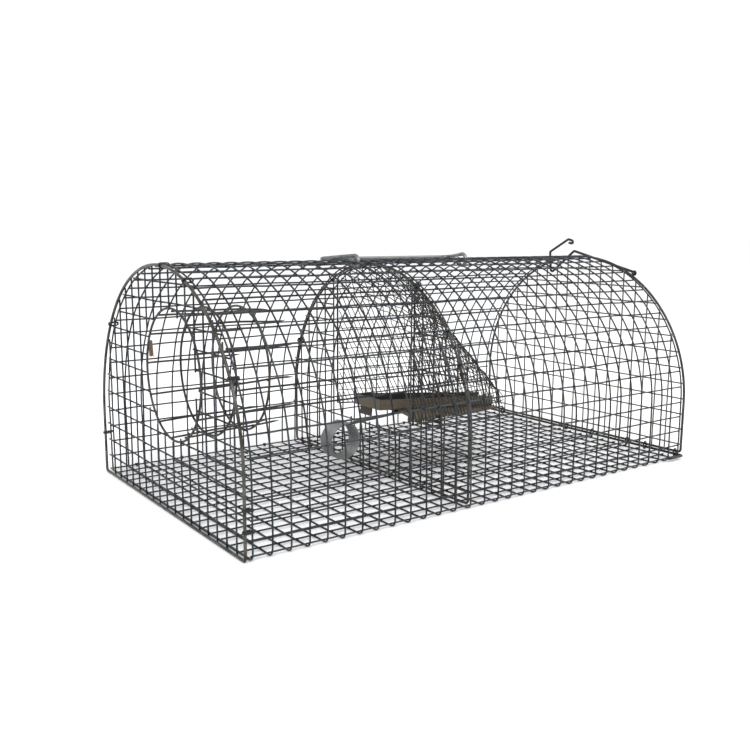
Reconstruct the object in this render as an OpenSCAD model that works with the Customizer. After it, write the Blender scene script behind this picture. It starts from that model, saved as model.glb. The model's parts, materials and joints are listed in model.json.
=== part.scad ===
// Half-barrel multi-catch live trap of welded wire mesh.
// +X runs from the entrance to the rear door, Y is the width, +Z is up.
// The origin is on the ground under the middle of the trap.

/* [Mesh] */
// Spacing of the welded mesh wires
pitch = 12.7; // [12:0.1:13.5]
// Diameter of the mesh wires
mesh_d = 1.2; // [0.9:0.1:1.4]
// Cells along the length of the barrel
length_cells = 31; // [31:1:32]

/* [Arch] */
// Outer half width of the barrel
arch_r = 116.5; // [116:0.5:118]
// Height at which the straight sides turn into the round roof
spring_z = 48; // [46:0.5:50]
// Diameter of the front ring's wire
ring_d = 2; // [1.8:0.1:2.2]
// Line wires on each straight side below the roof
leg_wires = 3; // [2:1:3]
// Spaces between line wires round the roof
roof_cells = 28; // [26:2:28]

/* [Entrance funnel] */
// Radius of the entrance hole, to the middle of its ring
hole_r = 43.5; // [40:0.5:45]
// Sideways place of the hole in the front panel
hole_y = -9; // [-10:0.5:-6]
// Height of the middle of the hole
hole_z = 92.5; // [90:0.5:95]
// Distance from one funnel ring to the next
funnel_step = 25; // [22:1:28]
// Length of the pointed wires behind the front panel
spike_len = 76; // [70:1:85]
// Number of pointed wires
spike_count = 12; // [8:1:14]

/* [Inner hood] */
// Cells from the front of the barrel to the partition
partition_cells = 13; // [12:1:14]
// Half width of the hood at its mouth
mouth_half = 50; // [48:1:52]
// Half width of the hood at its tip
tip_half = 21; // [20.5:0.5:24]
// Length of the hood
hood_len = 118; // [110:1:122]

/* [Platform] */
// Distance of the pivot rod behind the partition
pivot_back = 33; // [28:1:36]
// Height of the pivot rod
pivot_z = 42.5; // [42:0.1:43]
// Slope of the platform at rest, falling to the rear
tilt = 5; // [4:0.5:6]
// Width of the platform channel at its front wall
channel_w = 34; // [30:1:34]
// Width of the platform channel at its open rear end
channel_rear_w = 18; // [16:1:30]
// Height of the channel's walls
channel_h = 8.2; // [7:0.1:9]
// Thickness of the platform's sheet metal
sheet = 0.3; // [0.3:0.05:0.4]
// Outer radius of the counterweight coil
coil_r = 14.3; // [13:0.1:14.5]
// Turns in the counterweight coil
coil_turns = 6; // [5:1:7]
// Diameter of the counterweight wire
coil_d = 2.3; // [2.2:0.1:2.5]

/* [Door and latch] */
// Diameter of the door ring's wire
door_d = 2; // [1.8:0.1:2.2]
// Height of the door's hinge rod
hinge_z = 3.2; // [3.2:0.1:3.6]
// Diameter of the latch wire
latch_d = 2.2; // [2:0.1:2.4]

/* [Handle] */
// Diameter of the carrying handle's wire
handle_d = 3; // [2.6:0.1:3]
// Distance the handle's bar lies from its pivot
handle_reach = 29; // [28:1:34]

/* [Hidden] */
$fn = 24;
gap = 0.05;
clip_d = 1;
body_len = length_cells * pitch;
hoop_r = arch_r - mesh_d / 2;
line_r = hoop_r - mesh_d - gap;
ring_r = arch_r - ring_d / 2;
floor_z = mesh_d / 2;
line_z = floor_z + mesh_d + gap;
corner_r = 4;
// Planes of the front panel, counted from the first hoop
cross_off = mesh_d + gap;
upright_off = cross_off + mesh_d + gap;
ring_off = upright_off + mesh_d / 2 + gap + ring_d / 2;
// Planes of the door, counted from the last hoop
door_up_off = mesh_d + 0.3;
door_cross_off = door_up_off + mesh_d + gap;
door_off = door_cross_off + mesh_d / 2 + gap + door_d / 2;
latch_off = door_off + door_d / 2 + 0.3 + latch_d / 2;
// The first hoop's place puts the middle of the whole trap over the origin
front_out = ring_off + ring_d / 2 + gap + clip_d;
rear_out = latch_off + latch_d / 2;
x0 = -(body_len + rear_out - front_out) / 2;
x_end = x0 + body_len;
x_part = x0 + partition_cells * pitch;
// Partition frame inside the barrel
part_d = 1.8;
part_r = line_r - mesh_d / 2 - part_d / 2 - gap;
part_foot = line_z + mesh_d / 2 + part_d / 2 + gap;
part_up_x = x_part - part_d / 2 - mesh_d / 2 - gap;
part_cross_x = part_up_x - mesh_d - gap;
open_half = 4 * pitch;
sill_z = 3 * pitch;
// Funnel
funnel_wire = 1.6;
spike_d = 1.4;
funnel_x = x0 - cross_off + mesh_d / 2 + funnel_wire / 2 + gap;
funnel_taper = -0.02;
funnel_drift = 0.08;
// Hood
net_d = 0.8;
mouth_d = 1.4;
hem_d = 1.2;
hood_x = x_part + part_d / 2 + mouth_d / 2 + gap;
mouth_foot = 46;
mouth_corner = 148.2;
mouth_rise = 11.8;
tip_foot = 41.5;
tip_corner = 50;
tip_rise = 7;
side_cells = 8;
top_cells = 10;
hood_stations = 10;
// Platform, in its own frame with the pivot at the origin
pivot_x = x_part + pivot_back;
pivot_d = 2.4;
deck_z = 5.4;
channel_front = -38;
plate_front = -20;
plate_rear = 86;
droop = 8;
edge_gap = 3.5;
lug_y = 12;
arm_y = -8.5;
arm_z = deck_z - coil_d / 2 - gap;
arm_end = -1;
coil_x = -61.2;
coil_z = -18.3;
coil_mean = coil_r - coil_d / 2;
// Door
door_r = arch_r - door_d / 2;
hinge_d = 2.2;
loop_d = 1.2;
loop_gap = 0.08;
door_x = x_end + door_off;
door_cross_x = x_end + door_cross_off;
door_up_x = x_end + door_up_off;
door_foot = hinge_z + hinge_d + 0.3;
hinge_y = arch_r + hinge_d / 2 + gap;
// Latch, in an eye on the door ring
latch_x = x_end + latch_off;
eye_r = latch_d / 2 + loop_gap + loop_d / 2;
latch_r = arch_r + gap + eye_r + loop_d / 2;
latch_y = -latch_r * cos(60);
latch_z = spring_z + latch_r * sin(60);
// Handle
handle_eye = 4.6;
handle_z = spring_z + line_r;
eye_front_x = x0 + 11.45 * pitch;
eye_rear_x = x0 + 20.22 * pitch;
flare_front = 17.8;
flare_rear = 10.4;

// Height of an arch of radius r above the ground at width y
function arch_z(r, y) = spring_z + sqrt(max(0, r * r - y * y));
// Half width of an arch of radius r at height z
function arch_y(r, z) = z < spring_z ? r : sqrt(max(0, r * r - (z - spring_z) * (z - spring_z)));
// Small uneven overhang of a cut wire end
function ragged(i, amount) = amount * (0.5 + 0.5 * sin(i * 137));
function mix(a, b, t) = a + (b - a) * t;

// Straight wire between two points
module wire(a, b, d) {
    v = b - a;
    translate(a)
        rotate([0, acos(v.z / norm(v)), atan2(v.y, v.x)])
            cylinder(d = d, h = norm(v));
}

// Round bend of radius r at point p between the unit directions a and b.
// The bend is a hair thicker than the straight wires that run into it.
module wire_bend(p, a, b, r, d) {
    turn = acos(a * b);
    axis = cross(a, b) / norm(cross(a, b));
    out = -cross(axis, a);
    c = p - a * r * tan(turn / 2) - out * r;
    multmatrix([[out.x, a.x, axis.x, c.x], [out.y, a.y, axis.y, c.y],
            [out.z, a.z, axis.z, c.z], [0, 0, 0, 1]])
        rotate_extrude(angle = turn) translate([r, 0]) circle(d = 1.02 * d);
}

// Bent wire through a list of points, with round bends of radius r
module bent_wire(pts, d, r) {
    last = len(pts) - 1;
    way = [for (i = [0 : last - 1]) (pts[i + 1] - pts[i]) / norm(pts[i + 1] - pts[i])];
    cut = [for (i = [0 : last]) i == 0 || i == last ? 0 :
        r * tan(acos(way[i - 1] * way[i]) / 2) - 0.1];
    for (i = [0 : last - 1]) wire(pts[i] + cut[i] * way[i], pts[i + 1] - cut[i + 1] * way[i], d);
    for (i = [1 : last - 1]) wire_bend(pts[i], way[i - 1], way[i], r, d);
}

// Part of a ring lying in a plane across X, counted from +Y towards +Z
module arc_yz(x, y, z, r, d, start, sweep) {
    translate([x, y, z]) rotate([start, 0, 0]) rotate([90, 0, 90])
        rotate_extrude(angle = sweep) translate([r, 0]) circle(d = d);
}

// Arch of one wire: two legs and a half round
module arch(x, r, foot, d) {
    arc_yz(x, 0, spring_z, r, d, 0, 180);
    for (side = [-1, 1]) wire([x, side * r, foot], [x, side * r, spring_z], d);
}

// Bar across the foot of an arch, with round corners
module foot_bar(x, r, z, d) {
    wire([x, -r, z], [x, r, z], d);
    for (side = [-1, 1]) translate([x, side * r, z]) sphere(d = d);
}

// Closed link round two parallel wires that run along Y, one above the other
module link_y(x, y, z_low, z_high, wire_d, d) {
    r = wire_d / 2 + loop_gap + d / 2;
    for (end = [[z_low, 0], [z_high, 180]])
        translate([x, y, end[0]]) rotate([90, end[1], 0])
            rotate_extrude(angle = -180) translate([r, 0]) circle(d = d);
    for (side = [-1, 1]) wire([x + side * r, y, z_low], [x + side * r, y, z_high], d);
}

// Closed link along X round a ring at xa and a second one at xb, both at distance r
module ring_link(xa, xb, r, inner, d) {
    w = inner + d / 2;
    for (end = [[xa, 90], [xb, -90]])
        translate([end[0], r, 0]) rotate([0, 0, end[1]])
            rotate_extrude(angle = 180) translate([w, 0]) circle(d = d);
    for (side = [-1, 1]) wire([xa, r + side * w, 0], [xb, r + side * w, 0], d);
}

// ---- Barrel ----

// One mesh hoop: floor run, rolled corner, near side, roof and far side down to the seam
module hoop(x) {
    bend_y = -hoop_r + corner_r;
    bend_z = floor_z + corner_r;
    wire([x, bend_y, floor_z], [x, line_r - gap, floor_z], mesh_d);
    arc_yz(x, bend_y, bend_z, corner_r, mesh_d, 180, 90);
    wire([x, -hoop_r, bend_z], [x, -hoop_r, spring_z], mesh_d);
    arc_yz(x, 0, spring_z, hoop_r, mesh_d, 0, 180);
    wire([x, hoop_r, 0], [x, hoop_r, spring_z], mesh_d);
}

module body_hoops() {
    color("dimgray") for (i = [0 : length_cells]) hoop(x0 + i * pitch);
}

module line_wire(y, z) {
    wire([x0 - mesh_d / 2, y, z], [x_end + mesh_d / 2, y, z], mesh_d);
}

module roof_line_wires() {
    color("slategray") for (i = [0 : roof_cells]) {
        a = i * 180 / roof_cells;
        line_wire(line_r * cos(a), spring_z + line_r * sin(a));
    }
}

module side_line_wires() {
    color("slategray") for (side = [-1, 1], k = [1 : leg_wires])
        line_wire(side * line_r, k * spring_z / (leg_wires + 1));
}

module floor_line_wires() {
    inset = (corner_r - mesh_d - gap) * cos(45);
    color("slategray") {
        for (j = [-8 : 8]) line_wire(j * pitch, line_z);
        line_wire(line_r, line_z);
        line_wire(-hoop_r + corner_r - inset, floor_z + corner_r - inset);
    }
}

// Ties that close the seam along the far bottom edge
module seam_clips() {
    color("black") for (i = [1 : 3 : length_cells - 2])
        translate([x0 + (i + 0.5) * pitch, line_r, line_z]) rotate([0, 90, 0])
            rotate_extrude() translate([(mesh_d + clip_d) / 2 + gap, 0]) circle(d = clip_d);
}

// ---- Front panel ----

module front_ring() {
    color("silver") {
        arch(x0 - ring_off, ring_r, ring_d / 2, ring_d);
        foot_bar(x0 - ring_off, ring_r, ring_d / 2, ring_d);
    }
}

// Length of a mesh wire that the round entrance cuts away, at distance v from its middle
function hole_half(v, i) = sqrt(max(0, pow(hole_r - ragged(i, 1.6), 2) - v * v));

module front_uprights() {
    x = x0 - upright_off;
    color("slategray") for (j = [-8 : 8]) {
        y = j * pitch;
        top = arch_z(ring_r + ragged(j, 1.1), y);
        cut = hole_half(y - hole_y, j);
        if (cut > 0) {
            wire([x, y, 0.4], [x, y, hole_z - cut], mesh_d);
            wire([x, y, hole_z + cut], [x, y, top], mesh_d);
        }
        else wire([x, y, 0.4], [x, y, top], mesh_d);
    }
}

module front_crosswires() {
    x = x0 - cross_off;
    color("slategray") for (k = [0 : 12]) {
        z = k == 0 ? 2 : k * pitch;
        end = arch_y(ring_r + ragged(k, 1.1), z);
        cut = hole_half(z - hole_z, k + 3);
        if (cut > 0) {
            wire([x, -end, z], [x, hole_y - cut, z], mesh_d);
            wire([x, hole_y + cut, z], [x, end, z], mesh_d);
        }
        else wire([x, -end, z], [x, end, z], mesh_d);
    }
}

// Links that hold the front ring to the first hoop, with the panel's wires between the two
module front_clips() {
    inner = ring_d / 2 + gap;
    r = ring_r + 0.1;
    xa = x0 - ring_off;
    color("black") {
        for (a = [36.6, 93.2, 111.5, 151])
            translate([0, 0, spring_z]) rotate([a, 0, 0]) ring_link(xa, x0, r, inner, clip_d);
        for (z = [18, 31]) translate([0, 0, z]) rotate([180, 0, 0]) ring_link(xa, x0, r, inner, clip_d);
        translate([0, 0, 31]) ring_link(xa, x0, r, inner, clip_d);
    }
}

// ---- Entrance funnel ----

module funnel_ring(step) {
    x = funnel_x + step * funnel_step;
    r = hole_r + funnel_taper * step * funnel_step;
    y = hole_y + funnel_drift * step * funnel_step;
    color("gray") arc_yz(x, y, hole_z, r, funnel_wire, 0, 360);
}

module entrance_ring_outer() { funnel_ring(0); }
module entrance_ring_middle() { funnel_ring(1); }
module entrance_ring_inner() { funnel_ring(2); }

// Point on the funnel's wire cage at distance s behind the outer ring and angle a
function funnel_point(s, a) =
    let (r = hole_r + funnel_taper * s - funnel_wire / 2 - spike_d / 2 - gap)
    [funnel_x + s, hole_y + funnel_drift * s + r * cos(a), hole_z + r * sin(a)];

module entrance_spikes() {
    point_len = 5;
    color("dimgray") for (i = [0 : spike_count - 1]) {
        a = 4 + i * 360 / spike_count;
        root = funnel_point(-0.7, a);
        v = funnel_point(spike_len - ragged(i, 6), a) - root;
        translate(root) rotate([0, acos(v.z / norm(v)), atan2(v.y, v.x)]) rotate_extrude()
            polygon([[0, 0], [spike_d / 2, 0], [spike_d / 2, norm(v) - point_len],
                [0.15, norm(v)], [0, norm(v)]]);
    }
}

// Paper-thin tag that hangs from the outer ring
module entrance_tag() {
    a = 20;
    color("saddlebrown")
        translate([funnel_x + 2.2, hole_y + hole_r * cos(a), hole_z + hole_r * sin(a) - 8])
            rotate([14, 0, 0]) cube([0.6, 7, 10]);
}

// ---- Partition ----

module partition_ring() {
    color("gray") {
        arch(x_part, part_r, part_foot, part_d);
        foot_bar(x_part, part_r, part_foot, part_d);
    }
}

module partition_uprights() {
    foot = part_foot - part_d / 2;
    color("slategray") for (j = [-8 : 8]) {
        y = j * pitch;
        top = abs(y) < open_half - 1 ? sill_z + 1.4 : arch_z(part_r + ragged(j, 0.6), y);
        wire([part_up_x, y, foot], [part_up_x, y, top], mesh_d);
    }
}

module partition_crosswires() {
    color("slategray") for (k = [1 : 12]) {
        z = k * pitch;
        end = arch_y(part_r + ragged(k, 0.6), z);
        inner = open_half - 1.2;
        if (z < sill_z + 1) wire([part_cross_x, -end, z], [part_cross_x, end, z], mesh_d);
        else if (end > inner + pitch / 2)
            for (side = [-1, 1])
                wire([part_cross_x, side * inner, z], [part_cross_x, side * end, z], mesh_d);
    }
}

// Ties round the partition ring and the hoop that runs outside it
module partition_clips() {
    low = part_r - part_d / 2;
    inner = (arch_r - low) / 2 + gap;
    color("black") for (i = [3.5, 9.5, 18.5, 24.5])
        translate([x_part, 0, spring_z]) rotate([i * 180 / roof_cells, 0, 0])
            translate([0, (arch_r + low) / 2, 0])
                rotate_extrude() translate([inner + clip_d / 2, 0]) circle(d = clip_d);
}

// ---- Inner hood ----

// Outline of the hood at share t of its length, from the far foot over the top to the near foot.
// The first and last side_cells points are the straight sides, the rest is the crown.
function hood_outline(t, swell, ks) =
    let (half = mix(mouth_half, tip_half, t) + swell,
         foot = mix(mouth_foot, tip_foot, t),
         corner = mix(mouth_corner, tip_corner, t),
         rise = mix(mouth_rise, tip_rise, t),
         x = hood_x + t * hood_len)
    [for (k = ks)
        k < side_cells ? [x, half, mix(foot, corner, k / side_cells)] :
        k > side_cells + top_cells ?
            [x, -half, mix(corner, foot, (k - side_cells - top_cells) / side_cells)] :
            let (u = 1 - 2 * (k - side_cells) / top_cells)
            [x, half * u, corner + rise * (1 - u * u) + 1.3 * swell]];

last_wire = 2 * side_cells + top_cells;
frame_ks = [0, for (k = [side_cells : side_cells + top_cells]) k, last_wire];

module hood_mouth_wire() {
    color("dimgray") swept_wire(hood_outline(0, 0, frame_ks), mouth_d);
}

module hood_length_wires() {
    near = (mouth_d / 2 + gap) / hood_len;
    mouth = hood_outline(near, 0, [1 : last_wire - 1]);
    tip = hood_outline(1, 0, [1 : last_wire - 1]);
    color("dimgray") for (i = [0 : len(mouth) - 1]) wire(mouth[i], tip[i], net_d);
}

module hood_hem_wires() {
    near = (mouth_d / 2 + gap) / hood_len;
    mouth = hood_outline(near, -0.2, [0, last_wire]);
    tip = hood_outline(1, -0.2, [0, last_wire]);
    color("dimgray") for (i = [0, 1]) wire(mouth[i], tip[i], hem_d);
}

// Thin wire swept along points of a plane across X, six-sided
module swept_wire(pts, d) {
    sides = 6;
    n = len(pts);
    function along(i) = let (v = pts[min(i + 1, n - 1)] - pts[max(i - 1, 0)]) v / norm(v);
    rings = [for (i = [0 : n - 1]) let (side = cross([1, 0, 0], along(i)))
        for (s = [0 : sides - 1]) let (a = s * 360 / sides)
            pts[i] + d / 2 * (cos(a) * [1, 0, 0] + sin(a) * side)];
    walls = [for (i = [0 : n - 2], s = [0 : sides - 1]) let (q = (s + 1) % sides)
        [i * sides + s, i * sides + q, (i + 1) * sides + q, (i + 1) * sides + s]];
    caps = [[for (s = [sides - 1 : -1 : 0]) s], [for (s = [0 : sides - 1]) (n - 1) * sides + s]];
    polyhedron(rings, concat(walls, caps));
}

module hood_cross_wires() {
    clear = net_d + gap;
    color("dimgray") for (s = [1 : hood_stations])
        swept_wire(hood_outline(s / hood_stations - 0.01, clear, frame_ks), net_d);
}

// ---- Platform ----

// Row place of the platform's own frame
module on_pivot() {
    translate([pivot_x, 0, pivot_z]) rotate([0, tilt, 0]) children();
}

// Rod that hangs in the hood's hem by its hooked ends
module pivot_rod() {
    t = (pivot_x - hood_x) / hood_len;
    hem_y = mix(mouth_half, tip_half, t);
    out = hem_y + hem_d / 2 + pivot_d / 2 + 0.3;
    top = mix(mouth_foot, tip_foot, t) + hem_d / 2 + pivot_d / 2 + 0.3;
    color("black") bent_wire([[pivot_x, -hem_y + 1.5, top], [pivot_x, -out, top],
        [pivot_x, -out, pivot_z], [pivot_x, out, pivot_z], [pivot_x, out, top],
        [pivot_x, hem_y - 1.5, top]], pivot_d, 1.6);
}

// Half width of the plate at distance x from the pivot
function plate_half(x) =
    mix(mouth_half, tip_half, (pivot_x + x - hood_x) / hood_len) - edge_gap;

// Trapezoid plate whose sides droop like a low roof, with rolled front edges
module platform_plate() {
    half = channel_w / 2;
    front = plate_half(plate_front);
    rear = plate_half(plate_rear);
    wing = mouth_half;
    fall = wing * tan(droop);
    roll_d = 2;
    inset = 1;
    color("tan") on_pivot() {
        intersection() {
            translate([plate_front, 0, deck_z]) rotate([90, 0, 90])
                linear_extrude(plate_rear - plate_front)
                    polygon([[-half - wing, -fall], [-half, 0], [half, 0], [half + wing, -fall],
                        [half + wing, sheet - fall], [half, sheet], [-half, sheet],
                        [-half - wing, sheet - fall]]);
            translate([0, 0, -mouth_half]) linear_extrude(2 * mouth_half)
                polygon([[plate_front, -front], [plate_rear, -rear],
                    [plate_rear, rear], [plate_front, front]]);
        }
        for (side = [-1, 1]) translate([plate_front, 0, deck_z + sheet / 2])
            wire([0, side * (half + inset), -inset * tan(droop)],
                [0, side * (front - inset), -(front - inset - half) * tan(droop)], roll_d);
    }
}

// Open-topped channel with a front wall, narrower towards its open rear end
module platform_channel() {
    front = channel_w / 2;
    rear = channel_rear_w / 2;
    slope = (front - rear) / (plate_rear - channel_front);
    color("peru") on_pivot() translate([0, 0, deck_z + sheet + gap]) difference() {
        linear_extrude(channel_h)
            polygon([[channel_front, -front], [plate_rear, -rear],
                [plate_rear, rear], [channel_front, front]]);
        translate([0, 0, sheet]) linear_extrude(channel_h)
            polygon([[channel_front + sheet, sheet - front], [plate_rear + 1, sheet + slope - rear],
                [plate_rear + 1, rear - slope - sheet], [channel_front + sheet, front - sheet]]);
    }
}

// Two lugs under the plate that turn on the rod
module platform_lugs() {
    thick = 0.8;
    half_w = 4;
    drop = pivot_d / 2 + 2;
    color("tan") on_pivot() for (side = [-1, 1])
        translate([0, side * lug_y + thick / 2, 0]) rotate([90, 0, 0])
            linear_extrude(thick) difference() {
                translate([-half_w, -drop]) square([2 * half_w, drop + deck_z - gap]);
                circle(d = pivot_d + 2 * loop_gap);
            }
}

// Wire that carries the coil, rising to lie under the plate
module counterweight_arm() {
    color("dimgray") on_pivot()
        wire([coil_x + 0.3, arm_y, coil_z + coil_mean], [arm_end, arm_y, arm_z], coil_d);
}

// Close-wound coil on the end of the arm
module counterweight_coil() {
    steps = 18;
    sides = 8;
    n = coil_turns * steps;
    rise = (coil_d + 0.1) / steps;
    rings = [for (i = [0 : n], s = [0 : sides - 1])
        let (a = 90 + i * 360 / steps, b = s * 360 / sides,
             r = coil_mean + coil_d / 2 * cos(b))
        [coil_x + r * cos(a), arm_y + i * rise + coil_d / 2 * sin(b), coil_z + r * sin(a)]];
    walls = [for (i = [0 : n - 1], s = [0 : sides - 1]) let (q = (s + 1) % sides)
        [i * sides + s, i * sides + q, (i + 1) * sides + q, (i + 1) * sides + s]];
    caps = [[for (s = [sides - 1 : -1 : 0]) s], [for (s = [0 : sides - 1]) n * sides + s]];
    color("gray") on_pivot() polyhedron(rings, concat(walls, caps));
}

// Narrow tab folded down under the front of the channel, beside the arm
module platform_tab() {
    low = -1.5;
    color("saddlebrown") on_pivot() translate([channel_front + 4, -1, low])
        cube([0.8, 15, deck_z + sheet - low]);
}

// ---- Door and latch ----

// Rod across the foot of the door, with a leg along each side of the barrel
module hinge_rod() {
    leg_x = x_end - 14;
    color("black") bent_wire([[leg_x, -hinge_y, hinge_z], [door_x, -hinge_y, hinge_z],
        [door_x, hinge_y, hinge_z], [leg_x, hinge_y, hinge_z]], hinge_d, 2);
}

module door_ring() {
    color("silver") {
        arch(door_x, door_r, door_foot, door_d);
        foot_bar(door_x, door_r, door_foot, door_d);
    }
}

module door_uprights() {
    foot = door_foot - door_d / 2;
    color("slategray") for (j = [-8 : 8])
        wire([door_up_x, j * pitch, foot],
            [door_up_x, j * pitch, arch_z(door_r + ragged(j, 0.9), j * pitch)], mesh_d);
}

module door_crosswires() {
    color("slategray") for (k = [1 : 12]) {
        end = arch_y(door_r + ragged(k, 0.9), k * pitch);
        wire([door_cross_x, -end, k * pitch], [door_cross_x, end, k * pitch], mesh_d);
    }
}

// Links that join the door's foot bar to the hinge rod
module door_hinge_loops() {
    color("black") for (y = [-110, -80, -61, -22, 9, 95])
        link_y(door_x, y, hinge_z, door_foot, hinge_d, loop_d);
}

// Eye on the door ring in which the latch turns
module latch_eye() {
    color("black") arc_yz(door_x - 0.4, latch_y, latch_z, eye_r, loop_d, 0, 360);
}

// Latch wire: pivot leg, bar over the roof, hook and finger curl
module latch_wire() {
    color("black") bent_wire([[door_x - 3, latch_y, latch_z], [latch_x, latch_y, latch_z],
        [latch_x, 11, 168], [latch_x, 38.5, 146.6], [latch_x, 40.5, 166.5],
        [latch_x, 18.5, 178.5], [latch_x, 13.5, 176.3]], latch_d, 2);
}

// ---- Carrying handle ----

// Bail whose curled ends turn on the top line wire of the roof
module carry_handle() {
    bar_z = handle_z + 1.3;
    top_z = handle_z + handle_eye;
    color("gainsboro") {
        for (x = [eye_front_x, eye_rear_x]) {
            arc_yz(x, 0, handle_z, handle_eye, handle_d, 90, 290);
            translate([x, 0, top_z]) sphere(d = 1.04 * handle_d);
        }
        bent_wire([[eye_front_x, 0, top_z], [eye_front_x - flare_front, handle_reach, bar_z],
            [eye_rear_x + flare_rear, handle_reach, bar_z], [eye_rear_x, 0, top_z]],
            handle_d, 5);
    }
}

body_hoops();
roof_line_wires();
side_line_wires();
floor_line_wires();
seam_clips();
front_ring();
front_uprights();
front_crosswires();
front_clips();
entrance_ring_outer();
entrance_ring_middle();
entrance_ring_inner();
entrance_spikes();
entrance_tag();
partition_ring();
partition_uprights();
partition_crosswires();
partition_clips();
hood_mouth_wire();
hood_length_wires();
hood_cross_wires();
hood_hem_wires();
pivot_rod();
platform_plate();
platform_channel();
platform_lugs();
platform_tab();
counterweight_arm();
counterweight_coil();
hinge_rod();
door_ring();
door_uprights();
door_crosswires();
door_hinge_loops();
latch_eye();
latch_wire();
carry_handle();
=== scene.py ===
"""Looks of the half-barrel live catch trap: every wire, weld, net and sheet, built around the frame."""
import json
import math
import random

import bpy
from mathutils import Matrix, Vector, noise


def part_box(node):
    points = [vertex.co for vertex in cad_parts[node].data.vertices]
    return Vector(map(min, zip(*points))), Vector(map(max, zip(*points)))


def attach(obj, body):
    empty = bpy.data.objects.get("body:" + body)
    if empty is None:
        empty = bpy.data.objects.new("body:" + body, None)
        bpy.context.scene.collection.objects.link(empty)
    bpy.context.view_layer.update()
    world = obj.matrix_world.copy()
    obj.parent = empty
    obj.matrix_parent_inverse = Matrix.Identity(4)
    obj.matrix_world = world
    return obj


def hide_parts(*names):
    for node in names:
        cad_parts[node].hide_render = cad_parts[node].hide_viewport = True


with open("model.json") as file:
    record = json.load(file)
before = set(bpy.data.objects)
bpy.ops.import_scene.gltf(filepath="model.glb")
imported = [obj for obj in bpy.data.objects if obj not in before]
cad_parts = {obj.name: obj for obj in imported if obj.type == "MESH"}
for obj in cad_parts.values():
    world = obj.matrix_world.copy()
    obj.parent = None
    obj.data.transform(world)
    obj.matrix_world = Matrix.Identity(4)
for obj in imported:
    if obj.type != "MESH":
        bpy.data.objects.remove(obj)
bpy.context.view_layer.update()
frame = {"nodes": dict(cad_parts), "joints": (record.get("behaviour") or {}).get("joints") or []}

MM = 0.001
rng = random.Random(7)
noise.seed_set(7)        # noise vectors follow the clock unless they have a seed
JOINTS = {j["name"]: j for j in frame["joints"]}


def box_mm(node):
    low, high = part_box(node)
    return low / MM, high / MM


# ---- Sizes of the trap, in millimetres ----

PITCH = 12.7             # square mesh, from wire to wire
MESH_D = 1.2
RING_D = 2.0
GAP = 0.05               # air between wires that are welded where they cross
hoops_low, hoops_high = box_mm("body_hoops")
X0 = hoops_low.x + MESH_D / 2
X_END = hoops_high.x - MESH_D / 2
CELLS = round((X_END - X0) / PITCH)
COLUMNS = range(-8, 9)   # upright wires of a panel, counted from its middle
ROWS = 12                # cross wires of a panel above its foot
SPRING = 48.0            # height of the straight sides, below the half round
HOOP_R = hoops_high.z - SPRING - MESH_D / 2
LINE_R = HOOP_R - MESH_D - GAP
RING_R = HOOP_R + MESH_D / 2 - RING_D / 2
FLOOR_Z = MESH_D / 2
LINE_Z = FLOOR_Z + MESH_D + GAP
CORNER_R = 4.0
ROOF_CELLS = 28
LEG_WIRES = 3            # lengthwise wires on each straight side

# Front panel: its layers, counted outward from the first hoop
CROSS_OFF = MESH_D + GAP
UPRIGHT_OFF = CROSS_OFF + MESH_D + GAP
RING_OFF = UPRIGHT_OFF + MESH_D / 2 + GAP + RING_D / 2
FRONT_FOOT = 0.5
FRONT_SILL = 2.0
PANEL_WELD = Vector((0.6, 0.6, 0.6))
HOOP_WELD = Vector((0.62, 0.62, 0.62))

# Tie wires: angles round the roof in degrees, then side and height on the legs
TIE_D = 0.8
TIE_TURNS = 2.2
ROOF_TIES = (36.6, 93.2, 111.5, 151)
LEG_TIES = ((-1, 18), (-1, 31), (1, 31))

# Entrance funnel. Taper and drift are the change of radius and place for each millimetre inward
HOLE_R = 43.5
HOLE_Y = -9.0
HOLE_Z = 92.5
FUNNEL_STEP = 25.0
FUNNEL_WIRE = 1.6
FUNNEL_TAPER = -0.02
FUNNEL_DRIFT = 0.08
FUNNEL_X = X0 - CROSS_OFF + MESH_D / 2 + FUNNEL_WIRE / 2 + GAP
SPIKE_D = 1.4
SPIKE_LEN = 76.0
SPIKES = 12
SPIKE_TIP = 0.3
SPIKE_WELD = Vector((1.0, 0.8, 0.8))

# Partition and hood
PART_D = 1.8
X_PART = X0 + 13 * PITCH
PART_R = LINE_R - MESH_D / 2 - PART_D / 2 - GAP
PART_FOOT = LINE_Z + MESH_D / 2 + PART_D / 2 + GAP
PART_UP_X = X_PART - PART_D / 2 - MESH_D / 2 - GAP
PART_CROSS_X = PART_UP_X - MESH_D - GAP
PART_TIES = (3.5, 9.5, 18.5, 24.5)   # in roof cells from the far side
OPEN_HALF = 4 * PITCH
SILL_Z = 3 * PITCH
NET_D = 0.75
NET_CELL = 8.4
NET_SLOPE = 125.0        # how far a net wire climbs over the hood's length
NET_REACH = 290.0        # how far to each side of the ridge the net wires start
NET_LIFT = 0.28
MOUTH_D = 1.4
HEM_D = 1.2
HOOD_X = X_PART + PART_D / 2 + MOUTH_D / 2 + GAP
HOOD_LEN = 118.0
MOUTH = dict(half=50.0, foot=46.0, corner=148.2, rise=11.8)
TIP = dict(half=21.0, foot=41.5, corner=50.0, rise=7.0)
SIDE_SHARE = 0.33        # share of the hood's outline that one upright side takes

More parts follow.
